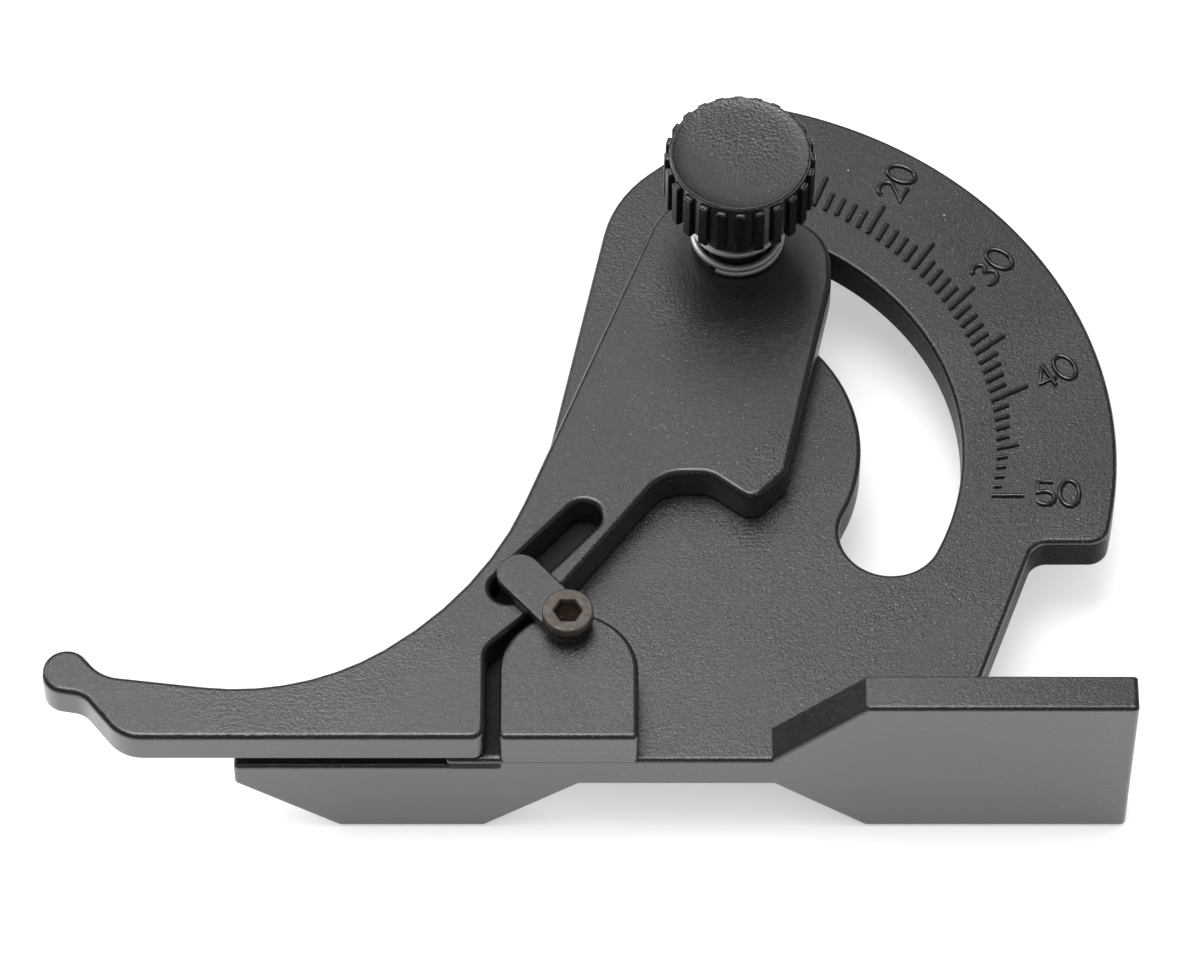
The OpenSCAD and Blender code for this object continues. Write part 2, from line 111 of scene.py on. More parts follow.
# Shader maths
class Signal:
    """A shader socket with arithmetic."""

    def __init__(self, paint, socket):
        self.paint = paint
        self.socket = socket

    def math(self, operation, first, second=0.0):
        node = self.paint.node("ShaderNodeMath", {"operation": operation}, {0: first, 1: second})
        return self.paint.out(node, 0)

    def __add__(self, other):
        return self.math("ADD", self, other)

    __radd__ = __add__

    def __mul__(self, other):
        return self.math("MULTIPLY", self, other)

    __rmul__ = __mul__

    def __sub__(self, other):
        return self.math("SUBTRACT", self, other)

    def __rsub__(self, other):
        return self.math("SUBTRACT", other, self)

    def __gt__(self, other):
        return self.math("GREATER_THAN", self, other)

    def __lt__(self, other):
        return self.math("LESS_THAN", self, other)


class Paint:
    """One material and its nodes."""

    def __init__(self, name):
        self.material = bpy.data.materials.new(name)
        self.material.use_nodes = True
        self.tree = self.material.node_tree
        self.shader = self.tree.nodes["Principled BSDF"]
        self.place = self.out(self.node("ShaderNodeTexCoord"), "Object")

    def node(self, kind, settings=None, inputs=None):
        node = self.tree.nodes.new(kind)
        for name, value in (settings or {}).items():
            setattr(node, name, value)
        for name, value in (inputs or {}).items():
            self.feed(node.inputs[name], value)
        return node

    def feed(self, socket, value):
        if isinstance(value, Signal):
            self.tree.links.new(value.socket, socket)
        elif isinstance(value, (int, float)):
            socket.default_value = value
        else:
            size = len(socket.default_value)
            socket.default_value = (*value, 1)[:size] if len(value) < size else value

    def out(self, node, name):
        return Signal(self, node.outputs[name])

    def noise(self, scale, detail, rough):
        inputs = {"Vector": self.place, "Scale": scale, "Detail": detail, "Roughness": rough}
        return self.out(self.node("ShaderNodeTexNoise", None, inputs), "Fac")

    def range(self, value, low, high, to_low, to_high):
        """Carries the span low to high over to another one, and keeps within it."""
        inputs = {0: value, 1: low, 2: high, 3: to_low, 4: to_high}
        return self.out(self.node("ShaderNodeMapRange", None, inputs), 0)

    def blend(self, factor, first, second):
        node = self.node("ShaderNodeMix", {"data_type": "RGBA"}, {0: factor, 6: first, 7: second})
        return self.out(node, 2)

    def drift(self, cloud, first, second):
        """Colour that drifts between two tones with a noise."""
        return self.blend(self.range(cloud, 0.35, 0.7, 0, 1), first, second)

    def bump(self, height, distance):
        inputs = {"Height": height, "Distance": distance, "Strength": 1.0}
        return self.out(self.node("ShaderNodeBump", None, inputs), "Normal")

    def set(self, **values):
        for name, value in values.items():
            self.feed(self.shader.inputs[name.replace("_", " ")], value)
        return self.material


def specks(paint, scale, size, share):
    """Mask of small scattered dots: one cell in a few carries one."""
    cells = paint.node("ShaderNodeTexVoronoi", None, {"Vector": paint.place, "Scale": scale})
    near = paint.out(cells, "Distance") < size
    split = paint.node("ShaderNodeSeparateColor", None, {0: paint.out(cells, "Color")})
    return near * (paint.out(split, 0) > 1 - share)


# Where the arm hides the plate's face: left of its neck's edge and below a line, and beside the boss.
# The bar's own edge stays as polished as the rest.
NECK_UPPER, NECK_LOWER = (-2.2, -7.4, 0), (-14.6, -24, 0)
HIDDEN_BELOW = (0, -4, 0)
BOSS_CORNER = (-14, -24, 0)
BAR_EDGE = (0, SOLE + 0.8, 0)


def behind_arm(paint):
    """Mask of the unpolished part of the plate's face under the arm's neck and beside the boss."""
    blend_from, blend_to = 0.4 * MM, 1.2 * MM
    below, above = 0.3 * MM, 0.1 * MM
    split = paint.node("ShaderNodeSeparateXYZ", None, {0: paint.place})
    x, y, z = (paint.out(split, axis) for axis in "XYZ")
    upper, lower = to_row(NECK_UPPER), to_row(NECK_LOWER)
    along = (lower - upper).normalized()
    left_of_neck = (x - upper.x) * along.y - (y - upper.y) * along.x
    beside_neck = paint.range(left_of_neck, blend_from, blend_to, 0, 1)
    under_neck = beside_neck * (y < to_row(HIDDEN_BELOW).y)
    corner = to_row(BOSS_CORNER)
    beside_boss = (x < corner.x) * (y < corner.y)
    on_face = (z > upper.z - below) * (z < upper.z + above) * (y > to_row(BAR_EDGE).y)
    either = paint.range(under_neck + beside_boss, 0, 1, 0, 1)
    return either * on_face


def black_nylon(name, colour, pale, grain, leather, shine=1.0, bend=1.5, dull=None):
    """Moulded glass-filled nylon: grain with painted sparkle and glints, faint wrinkles, uneven sheen,
    specks of dust.
    """
    glint_grey, lint = (0.2, 0.2, 0.2), (0.30, 0.30, 0.29)
    unpolished = 0.75
    paint = Paint(name)
    cloud = paint.noise(scale=55, detail=3, rough=0.6)
    fine = paint.noise(scale=6500, detail=2, rough=0.6)
    grit = paint.noise(scale=3200, detail=3, rough=0.7)
    wrinkles = paint.noise(scale=2400, detail=3, rough=0.55)
    worn = paint.range(paint.noise(scale=38, detail=2, rough=0.5), 0.46, 0.62, 0, 1)
    dust = specks(paint, scale=240, size=0.03, share=0.16)
    glints = specks(paint, scale=1300, size=0.11, share=0.16)
    tone = paint.drift(cloud, colour, pale)
    # Painted sparkle: the peaks of a fine noise are lightened to seven times the pale tone, standing in
    # for tiny highlights.
    tone = paint.blend(paint.range(fine, 0.58, 0.72, 0, 0.7), tone, [c * 7 for c in pale])
    # Painted glints: scattered light specks in the colour stand in for points of reflected light.
    tone = paint.blend(glints * 0.35, tone, glint_grey)
    tone = paint.blend(dust * 0.6, tone, lint)
    rough = paint.range(cloud, 0.3, 0.75, 0.19, 0.27) + paint.range(grit, 0.3, 0.7, -0.03, 0.04)
    if dull:
        rough = rough + dull(paint) * unpolished
    height = fine * grain + grit * (grain * 1.3) + wrinkles * worn * leather
    return paint.set(
        Base_Color=tone, Roughness=rough, Normal=paint.bump(height, MM), Metallic=0.0,
        IOR=bend, Specular_IOR_Level=shine)


def smooth_nylon(name):
    """Raised strokes straight off a polished mould."""
    black, soot = (0.003, 0.003, 0.003), (0.007, 0.007, 0.008)
    paint = Paint(name)
    cloud = paint.noise(scale=1200, detail=3, rough=0.6)
    tone = paint.drift(cloud, black, soot)
    rough = paint.range(cloud, 0.3, 0.7, 0.12, 0.20)
    return paint.set(
        Base_Color=tone, Roughness=rough, Normal=paint.bump(cloud, 0.03 * MM), Metallic=0.0,
        IOR=1.5, Specular_IOR_Level=1.0)


def polished_wire(name):
    """Bright nickel-plated spring wire with faint drawing marks."""
    nickel, greyed = (0.95, 0.93, 0.90), (0.86, 0.84, 0.81)
    paint = Paint(name)
    cloud = paint.noise(scale=900, detail=2, rough=0.5)
    tone = paint.drift(cloud, nickel, greyed)
    rough = paint.range(cloud, 0.3, 0.7, 0.40, 0.50)
    return paint.set(
        Base_Color=tone, Roughness=rough, Normal=paint.bump(cloud, 0.004 * MM), Metallic=1.0)


def rusted_steel(name):
    """Blackened screw with patches of brown rust."""
    blackened, rubbed, brown = (0.07, 0.064, 0.058), (0.16, 0.148, 0.136), (0.062, 0.042, 0.032)
    paint = Paint(name)
    patches = paint.noise(scale=900, detail=4, rough=0.65)
    fine = paint.noise(scale=4200, detail=3, rough=0.6)
    rust = paint.range(patches + fine * 0.35, 0.58, 0.80, 0, 1)
    tone = paint.blend(rust * 0.8, paint.blend(fine, blackened, rubbed), brown)
    metal = paint.range(rust, 0, 1, 0.85, 0.3)
    rough = paint.range(rust, 0, 1, 0.28, 0.6)
    height = patches + fine * 0.6
    return paint.set(
        Base_Color=tone, Roughness=rough, Normal=paint.bump(height, 0.03 * MM), Metallic=metal)


def plain_metal(name, colour, dull, rough_low, rough_high):
    """Machined metal with a light uneven tarnish."""
    paint = Paint(name)
    cloud = paint.noise(scale=420, detail=3, rough=0.6)
    fine = paint.noise(scale=3500, detail=2, rough=0.5)
    tone = paint.drift(cloud, colour, dull)
    rough = paint.range(cloud, 0.3, 0.7, rough_low, rough_high) + fine * 0.06
    return paint.set(
        Base_Color=tone, Roughness=rough, Normal=paint.bump(fine, 0.006 * MM), Metallic=1.0)


BODY_NYLON = black_nylon("body_nylon", (0.0055, 0.0055, 0.006), (0.008, 0.008, 0.009),
                         grain=0.03, leather=0.045, dull=behind_arm)
# A darker, less reflective copy of the nylon for side walls: painted shade on the walls.
SHADED_WALL_NYLON = black_nylon("wall_nylon", (0.003, 0.003, 0.003), (0.005, 0.005, 0.005),
                         grain=0.055, leather=0.10, shine=0.5, bend=1.15)
ARM_NYLON = black_nylon("arm_nylon", (0.005, 0.005, 0.0055), (0.0075, 0.0075, 0.008),
                        grain=0.026, leather=0.06)
KNOB_NYLON = black_nylon("knob_nylon", (0.005, 0.005, 0.0055), (0.0075, 0.0075, 0.008),
                         grain=0.026, leather=0.12)
# Near-black brown nylon for the screw's socket floor, the head's foot and the stem: rust with painted
# shade in the socket.
SOCKET_RUST_AND_SHADE = black_nylon("socket_rust", (0.003, 0.002, 0.002), (0.016, 0.008, 0.005),
                          grain=0.09, leather=0.2, shine=0.3, bend=1.2)
MARK_NYLON = smooth_nylon("mark_nylon")
SPRING_WIRE = polished_wire("spring_wire")
SCREW_STEEL = rusted_steel("tab_screw_steel")
CLAMP_STEEL = plain_metal("clamp_steel", (0.52, 0.53, 0.54), (0.40, 0.40, 0.41), 0.26, 0.42)
INSERT_BRASS = plain_metal("insert_brass", (0.78, 0.58, 0.26), (0.60, 0.42, 0.18), 0.24, 0.40)


# Outlines
def arc(centre, radius, start, end, steps=12):
    return [Vector(centre) + polar(radius, start + (end - start) * i / steps) for i in range(steps + 1)]


def corner_arc(point, before, after, radius, step=6):
    """Arc that rounds the corner at a point between its two neighbours."""
    to_before = (before - point).normalized()
    to_after = (after - point).normalized()
    half = to_before.angle(to_after) / 2
    centre = point + (to_before + to_after).normalized() * radius / math.sin(half)
    first = point + to_before * radius / math.tan(half) - centre
    last = point + to_after * radius / math.tan(half) - centre
    start = math.degrees(math.atan2(first.y, first.x))
    turn = (math.degrees(math.atan2(last.y, last.x)) - start + 180) % 360 - 180
    return arc(centre, radius, start, start + turn, max(2, math.ceil(abs(turn) / step)))


def rounded(corners):
    """Points of a closed outline whose corners are (x, y, radius)."""
    points = []
    for i, (x, y, radius) in enumerate(corners):
        before = Vector(corners[i - 1][:2])
        after = Vector(corners[(i + 1) % len(corners)][:2])
        if radius:
            points += corner_arc(Vector((x, y)), before, after, radius)
        else:
            points.append(Vector((x, y)))
    return points


def circle(centre, radius, steps=96):
    return [Vector(centre) + polar(radius, 360 * i / steps) for i in range(steps)]


def capsule(first, second, radius, steps=24):
    """Outline with round ends about two centres."""
    way = math.degrees(math.atan2(second.y - first.y, second.x - first.x))
    ahead = arc(second, radius, way - 90, way + 90, steps)
    behind = arc(first, radius, way + 90, way + 270, steps)
    return ahead + behind


def hexagon(centre, radius, corner_r):
    return rounded([(*(centre + polar(radius, 60 * i)), corner_r) for i in range(6)])


def bent_block(half_width, start, end, step=2.0):
    """Outline of a block bent along the middle of the window, with round ends."""
    steps, end_steps, clear = math.ceil((end - start) / step), 40, 3
    outer = arc((0, 0), WINDOW_R + half_width, start, end, steps)
    inner = arc((0, 0), WINDOW_R - half_width, end, start, steps)
    last = arc(polar(WINDOW_R, end), half_width, end + clear, end + 180 - clear, end_steps)
    first = arc(polar(WINDOW_R, start), half_width, start - 180 + clear, start - clear, end_steps)
    return outer + last + inner + first


def area(points):
    return sum(a.x * b.y - b.x * a.y for a, b in zip(points, points[1:] + points[:1])) / 2


def turned_to(points, sign):
    return points if area(points) * sign > 0 else points[::-1]


# Solids
FLAT = Matrix.Identity(3)
UPRIGHT = Matrix(((1, 0, 0), (0, 0, -1), (0, 1, 0)))


def edge_profile(low, high, round_low, round_high, steps=7):
    """Rings of a prism's wall as (inset, height, outward part, upward part) of the normal."""
    rings = []
    for radius, base, sign in ((round_low, low, -1), (round_high, high, 1)):
        part = []
        for i in range(steps + 1):
            a = math.pi / 2 * i / steps
            part.append((radius * (1 - math.cos(a)), base - sign * radius * (1 - math.sin(a)),
                         math.cos(a), sign * math.sin(a)))
        rings += part[::-1] if sign < 0 else part
    return rings


class Shell:
    """A mesh under construction, with its own normals."""

    def __init__(self):
        self.mesh = bmesh.new()
        self.normals = []

    def face(self, verts, normals, slot=0):
        found = self.mesh.faces.new(verts)
        found.material_index = slot
        self.normals.append((found, dict(zip(verts, normals))))

    def cap(self, loops, up):
        """Closes a flat end with its holes."""
        edges = []
        for loop in loops:
            for a, b in zip(loop, loop[1:] + loop[:1]):
                edges.append(self.mesh.edges.get((a, b)) or self.mesh.edges.new((a, b)))
        filled = bmesh.ops.triangle_fill(self.mesh, use_beauty=True, edges=edges, normal=up)
        for found in filled["geom"]:
            if isinstance(found, bmesh.types.BMFace):
                found.normal_update()
                if found.normal.dot(up) < 0:
                    found.normal_flip()
                self.normals.append((found, {v: up for v in found.verts}))

    def prism(self, outline, holes, low, high, round_low, round_high, turn=FLAT, wall=0):
        """Solid between two heights with rounded rims; wall is the material slot of its sides."""
        loops = [turned_to(outline, 1)] + [turned_to(hole, -1) for hole in holes]
        rings = edge_profile(low, high, round_low, round_high)
        ends = ([], [])
        for points in loops:
            count = len(points)
            outward = []
            for i in range(count):
                a = (points[i] - points[i - 1]).normalized()
                b = (points[(i + 1) % count] - points[i]).normalized()
                way = Vector((a.y + b.y, -a.x - b.x)).normalized()
                outward.append((way, 1 / max(0.5, way.dot(Vector((a.y, -a.x))))))
            rows = []
            for inset, height, out, up in rings:
                row = []
                for point, (way, stretch) in zip(points, outward):
                    flat = point - way * inset * stretch
                    vert = self.mesh.verts.new(to_row(turn @ Vector((flat.x, flat.y, height))))
                    row.append((vert, turn @ Vector((way.x * out, way.y * out, up))))
                rows.append(row)
            for k, (lower, upper) in enumerate(zip(rows, rows[1:])):
                for i in range(count):
                    j = (i + 1) % count
                    corners = (lower[i], lower[j], upper[j], upper[i])
                    self.face([c[0] for c in corners], [c[1] for c in corners],
                              wall if k * 2 + 2 == len(rows) else 0)
            ends[0].append([v for v, _ in rows[0]])
            ends[1].append([v for v, _ in rows[-1]])
        self.cap(ends[0], turn @ Vector((0, 0, -1)))
        self.cap(ends[1], turn @ Vector((0, 0, 1)))

    def finish(self, name, *materials):
        """Turns the mesh into an object that keeps the normals worked out for it."""
        mesh = bpy.data.meshes.new(name)
        self.mesh.faces.index_update()
        normals = {}
        for found, by_vert in self.normals:
            normals[found.index] = [by_vert[v] for v in found.verts]
        self.mesh.to_mesh(mesh)
        loops = []
        for polygon in mesh.polygons:
            polygon.use_smooth = True
            loops += normals[polygon.index]
        mesh.normals_split_custom_set([tuple(n) for n in loops])
        for material in materials:
            mesh.materials.append(material)
        self.mesh.free()
        found = bpy.data.objects.new(name, mesh)
        bpy.context.scene.collection.objects.link(found)
        return found


def lathe(name, profile, centre, material, segments, sharp):
    """A turned piece about Z from (radius, height) points, closed on its axis."""
    mesh = bmesh.new()
    rows = []
    for radius, height in profile:
        if radius == 0:
            rows.append([mesh.verts.new(to_row((centre[0], centre[1], height)))])
            continue
        ring = [Vector(centre) + polar(radius, 360 * i / segments) for i in range(segments)]
        rows.append([mesh.verts.new(to_row((p.x, p.y, height))) for p in ring])
    for lower, upper in zip(rows, rows[1:]):
        for i in range(segments):
            j = (i + 1) % segments
            below = [lower[i % len(lower)], lower[j % len(lower)]]
            above = [upper[j % len(upper)], upper[i % len(upper)]]
            mesh.faces.new(list(dict.fromkeys(below + above)))
    bmesh.ops.recalc_face_normals(mesh, faces=mesh.faces)
    return mesh_piece(name, mesh, material, sharp)


def mesh_piece(name, mesh, material, sharp):
    """Turns a mesh into a smooth object, with edges sharper than an angle kept."""
    data = bpy.data.meshes.new(name)
    mesh.to_mesh(data)
    mesh.free()
    for polygon in data.polygons:
        polygon.use_smooth = True
    data.set_sharp_from_angle(angle=math.radians(sharp))
    data.materials.append(material)
    found = bpy.data.objects.new(name, data)
    bpy.context.scene.collection.objects.link(found)
    return found


# The body: plate, base bar, boss, marks and numerals
STEP_ANGLE = -13
STEP_DROP = 14.2
RIM_TOP_ANGLE = 79.5


def plate_outline():
    """The plate from the step at its right, down the strut, along the sole and round by the left."""
    side = polar(RIM_R, STEP_ANGLE)
    tangent = polar(1, STEP_ANGLE - 90)
    tip = side + tangent * (STEP_DROP + side.y) / -tangent.y
    strut_top, strut_foot, sole_left = 43.3, 31.9, -28.6
    tip_r, step_r, sole_r, rim_r = 2.6, 2.5, 0.62, 0.8
    rim_from, rim_to, rim_steps = 78, -12, 60
    corners = rounded([
        (side.x, side.y, 0),
        (tip.x, tip.y, tip_r),
        (strut_top, -STEP_DROP, step_r),
        (strut_foot, SOLE, sole_r),
        (sole_left, SOLE, sole_r),
        (-26.3, -27.1, 8),
        (-17.95, -8.54, 6),
        (-8.33, 38.43, 17),
        (*polar(RIM_R, RIM_TOP_ANGLE), rim_r),
    ])
    return corners + arc((0, 0), RIM_R, rim_from, rim_to, rim_steps)


def bar_outline():
    """The bar seen from the sole, X to the right and Z up."""
    left, right, front, back = -54.06, 54.05, 11.75, -BAR_BACK
    face, low_face, arch, boss_left = -0.05, -1.4, -5.45, -22.3
    end_r, bend_r, ramp_r, step_r = 0.64, 0.8, 0.5, 0.12
    return rounded([
        (left, low_face, end_r),
        (boss_left, low_face, step_r),
        (boss_left, face, end_r),
        (10.61, face, ramp_r),
        (21.8, front, bend_r),
        (right, front, end_r),
        (right, back, end_r),
        (22.3, back, bend_r),
        (10.83, arch, bend_r),
        (-12.35, arch, bend_r),
        (-24.06, back, bend_r),
        (-41.79, back, bend_r),
        (left, -5.28, end_r),
    ])


def boss_outline():
    """The D-shaped boss under the tab's screw."""
    radius, corner_r, sole = 8.35, 0.72, SOLE + 0.02
    top = Vector((SCREW.x + 0.15, SCREW.y - 6.35))
    left, right, shoulder = top.x - radius, top.x + radius, top.y - 1
    return arc(top, radius, 0, 180, 30) + rounded([
        (left, shoulder, 0), (left, sole, corner_r), (right, sole, corner_r), (right, shoulder, 0)])


FIRST_READING, LAST_READING = 15, 50
MARK_R = 40.41
MARK_W = 0.66
MARK_RISE = 0.4
MARK_ANGLE_TERMS = (65, -11.52, 0.095)
MARK_LEAN_TERMS = (14.9, -0.73)


def mark_angle(reading):
    """Where a mark starts, about the dial centre."""
    n = (reading - FIRST_READING) / 5
    first, slope, curve = MARK_ANGLE_TERMS
    return first + slope * n + curve * n * n


def mark_lean(reading):
    """Which way a mark points: the marks fan out less than their places do."""
    n = (LAST_READING - reading) / 5
    slope, curve = MARK_LEAN_TERMS
    return slope * n + curve * n * n


def mark_length(reading):
    long_mark, short_mark = 4.9, 3.0
    taper, taper_from = 0.045, 36
    special = {40: 1.1, 45: 0.63, 50: 0.86}
    if reading % 5 == 0:
        return long_mark * special.get(reading, 1)
    return short_mark * (1 - taper * max(0, reading - taper_from))


def mark_path(reading):
    shift_x, shift_y, round_end = -1.41, 0.78, 0.1
    way = polar(1, mark_angle(reading))
    start = way * (MARK_R + shift_x * way.x + shift_y * way.y)
    along = polar(1, mark_lean(reading))
    return [start + along * round_end, start + along * (mark_length(reading) - round_end)]


# Strokes of each digit in shares of its height, then each number's place: angle about the dial
# centre, distance as a share of the rim's radius, turn
DIGIT_H = 4.4
DIGITS = {
    "5": [[(0.54, 0.95), (0.12, 0.95), (0.08, 0.52)] + arc((0.30, 0.32), 0.265, 120, -145)],
    "4": [[(0.46, 0.03), (0.46, 0.93)], [(0.46, 0.93), (0.06, 0.30), (0.60, 0.30)]],
    "3": [arc((0.30, 0.74), 0.21, 160, -80), arc((0.30, 0.29), 0.25, 80, -155)],
    "2": [arc((0.31, 0.70), 0.25, 165, -38) + [(0.06, 0.05), (0.60, 0.05)]],
}
NUMERALS = (
    ("5", -8.7, 0.867, 0),
    ("4", 13.3, 0.887, 29),
    ("3", 34.6, 0.886, 51),
    ("2", 55.5, 0.905, 64),
)


def numeral_paths(digit, angle, radius_share, facing):
    """Strokes of a two-figure number that ends in nought, the last one closed."""
    half_width, pitch = 0.705, 0.99
    zero_half_w, zero_steps = 0.275, 28
    turns = [math.tau * i / zero_steps for i in range(zero_steps + 1)]
    zero = [Vector((zero_half_w * math.cos(a), 0.5 + 0.5 * math.sin(a))) for a in turns]
    centre = polar(RIM_R * radius_share, angle)
    turn = Matrix.Rotation(math.radians(facing), 2)
    lift = MARK_W / 2 / DIGIT_H

    def place(point, shift):
        inner = Vector((point[0] + lift - half_width + shift, (point[1] - 0.5) * (1 - 2 * lift)))
        return centre + turn @ (inner * DIGIT_H)

    strokes = [[place(point, 0) for point in stroke] for stroke in DIGITS[digit]]
    return strokes + [[place(point, pitch) for point in zero]]


def build_body():
    """Plate, bar and boss in one moulding, its straight walls darker and duller than its faces: painted
    shade on the walls.
    """
    sole_edge, back_edge, bar_edge, boss_edge, boss_root = 0.6, 0.45, 0.25, 0.7, -2
    shell = Shell()
    window = bent_block(WINDOW_W / 2, *WINDOW_ENDS)
    shell.prism(plate_outline(), [window], -PLATE_T, 0, back_edge, sole_edge, wall=1)
    shell.prism(bar_outline(), [], CENTRE_H - BAR_H, CENTRE_H, bar_edge, sole_edge, UPRIGHT)
    shell.prism(boss_outline(), [], boss_root, BOSS_FRONT, 0, boss_edge)
    return shell.finish("moulded_body", BODY_NYLON, SHADED_WALL_NYLON)


def build_scale():
    """Raised marks and plain numbers, each a rounded stroke half sunk in the plate."""
    paths = [mark_path(reading) for reading in range(FIRST_READING, LAST_READING + 1)]
    for numeral in NUMERALS:
        paths += numeral_paths(*numeral)
    lines = [[(point.x, point.y, 0) for point in path] for path in paths]
    return sweep("scale_marks", lines, MARK_W / 2, MARK_RISE, 14, MARK_NYLON)


# The lever arm: places about the clamp knob's axis in shares of the arm's reach and drop, and each
# corner's radius in shares of the reach
ARM_REACH = 84.31
ARM_DROP = 73.094
ARM_SHARES = [
    (-1, -0.905, 0.0325), (-1, -0.828, 0.0335), (-0.950, -0.828, 0.0325), (-0.915, -0.877, 0.059),
    (-0.630, -0.918, 0.370), (-0.375, -0.716, 0.540), (-0.107, 0.092, 0.095), (-0.004, 0.109, 0.070),
    (0.139, 0.014, 0.084), (0.139, -0.085, 0.150), (0.068, -0.474, 0.018), (0.018, -0.536, 0.024),
    (-0.046, -0.479, 0.036), (-0.112, -0.479, 0.060), (-0.259, -0.706, 0.050), (-0.367, -0.825, 0.036),
    (-0.367, -1, 0.020), (-0.884, -1, 0.0605), (-0.941, -0.917, 0.0355)]
SLOT_TOP = (-0.2284, -0.5646)


def build_arm():
    """The arm with its slanted slot for the pin and its bore about the clamp knob's axis."""
    slot_length, slot_slant, slot_r, bore_r = 13.8, 48.5, 2.15, 4.05
    back_edge, front_edge = 0.35, 0.75
    corners = [(KNOB.x + x * ARM_REACH, KNOB.y + y * ARM_DROP, r * ARM_REACH) for x, y, r in ARM_SHARES]
    top = Vector((KNOB.x + SLOT_TOP[0] * ARM_REACH, KNOB.y + SLOT_TOP[1] * ARM_DROP))
    slot = capsule(top, top + polar(slot_length, slot_slant + 180), slot_r)
    bore = circle(KNOB, bore_r)
    shell = Shell()
    shell.prism(rounded(corners), [slot, bore], ARM_BACK, ARM_BACK + ARM_T, back_edge, front_edge)
    return shell.finish("lever", ARM_NYLON)


def build_tab():
    """The tab over the pin's end, held by one screw."""
    half_width, hole_r, past_pin = 2.8, 1.52, 1
    back_edge, front_edge = 0.1, 0.3
    free_end = Vector((PIN.x + past_pin, PIN.y - past_pin / 3))
    outline = capsule(free_end, SCREW, half_width)
    hole = circle(SCREW, hole_r)
    shell = Shell()
    shell.prism(outline, [hole], BOSS_FRONT, BOSS_FRONT + TAB_T, back_edge, front_edge)
    return shell.finish("pivot_tab", BODY_NYLON)


def build_tab_screw():
    """Low socket head with a rolled edge and a six-sided socket."""
    head_r, head_h, rolled_edge, under_edge = 3.1, 1.9, 0.28, 0.12
    socket_r, socket_depth, socket_corner = 1.7, 1.14, 0.12
    tip_edge, overlap, stem_overlap = 0.3, 0.02, 0.05
    base = BOSS_FRONT + TAB_T
    top = base + head_h
    socket_floor = top - socket_depth
    outer = circle(SCREW, head_r, 64)
    socket = hexagon(SCREW, socket_r, socket_corner)
    stem = circle(SCREW, TAB_SCREW_R, 48)
    shell = Shell()
    shell.prism(outer, [socket], socket_floor, top, 0, rolled_edge)
    head = shell.finish("tab_screw_head", SCREW_STEEL)
    # The head's lower part, whose top is the socket's floor, and the stem wear near-black brown: rust
    # with painted shade in the socket and at the head's foot.
    shell = Shell()
    shell.prism(outer, [], base, socket_floor + overlap, under_edge, 0)
    shell.prism(stem, [], -PLATE_T / 2 + overlap, base + stem_overlap, tip_edge, 0)
    return head, shell.finish("tab_screw_stem", SOCKET_RUST_AND_SHADE)


# Node trees
def node_tree(name, inputs):
    """An empty tree from mesh to mesh with named inputs, and their values by identifier."""
    tree = bpy.data.node_groups.new(name, "GeometryNodeTree")
    face = tree.interface
    face.new_socket("Geometry", in_out="INPUT", socket_type="NodeSocketGeometry")
    values = {}
    for label, kind, value in inputs:
        values[face.new_socket(label, in_out="INPUT", socket_type=kind).identifier] = value
    face.new_socket("Geometry", in_out="OUTPUT", socket_type="NodeSocketGeometry")
    return tree, values


def plain_result(piece, tree, values):
    """Sets a node tree's inputs, evaluates it and keeps only the mesh that it makes."""
    modifier = piece.modifiers.new("shape", "NODES")
    modifier.node_group = tree
    for identifier, value in values.items():
        modifier[identifier] = value
    evaluated = piece.evaluated_get(bpy.context.evaluated_depsgraph_get())
    mesh = bpy.data.meshes.new_from_object(evaluated)
    piece.modifiers.remove(modifier)
    old = piece.data
    piece.data = mesh
    bpy.data.meshes.remove(old)
    mesh.name = piece.name
    return piece


def repeat_about(piece, count, centre, material):
    """Copies a piece evenly about an upright axis. Its walls keep their own material."""
    tree, values = node_tree(piece.name + "_round", (
        ("Count", "NodeSocketInt", count),
        ("Step", "NodeSocketFloat", math.tau / count),
        ("Centre", "NodeSocketVector", to_row((*centre, -ORIGIN.z)))))
    new, link = tree.nodes.new, tree.links.new
    given, result = new("NodeGroupInput"), new("NodeGroupOutput")
    points, index = new("GeometryNodePoints"), new("GeometryNodeInputIndex")
    turn, spin = new("ShaderNodeMath"), new("ShaderNodeCombineXYZ")
    turn.operation = "MULTIPLY"
    copies, real = new("GeometryNodeInstanceOnPoints"), new("GeometryNodeRealizeInstances")
    slot, painted = new("GeometryNodeInputMaterialIndex"), new("GeometryNodeSetMaterial")
    not_wall = new("ShaderNodeMath")
    not_wall.operation = "LESS_THAN"
    not_wall.inputs[1].default_value = 0.5
    link(slot.outputs[0], not_wall.inputs[0])
    link(not_wall.outputs[0], painted.inputs["Selection"])
    link(given.outputs["Count"], points.inputs["Count"])
    link(given.outputs["Centre"], points.inputs["Position"])
    link(index.outputs[0], turn.inputs[0])
    link(given.outputs["Step"], turn.inputs[1])
    link(turn.outputs[0], spin.inputs["Z"])
    link(points.outputs[0], copies.inputs["Points"])
    link(given.outputs["Geometry"], copies.inputs["Instance"])
    link(spin.outputs[0], copies.inputs["Rotation"])
    link(copies.outputs[0], real.inputs[0])
    link(real.outputs[0], painted.inputs["Geometry"])
    painted.inputs["Material"].default_value = material
    link(painted.outputs[0], result.inputs[0])
    return plain_result(piece, tree, values)


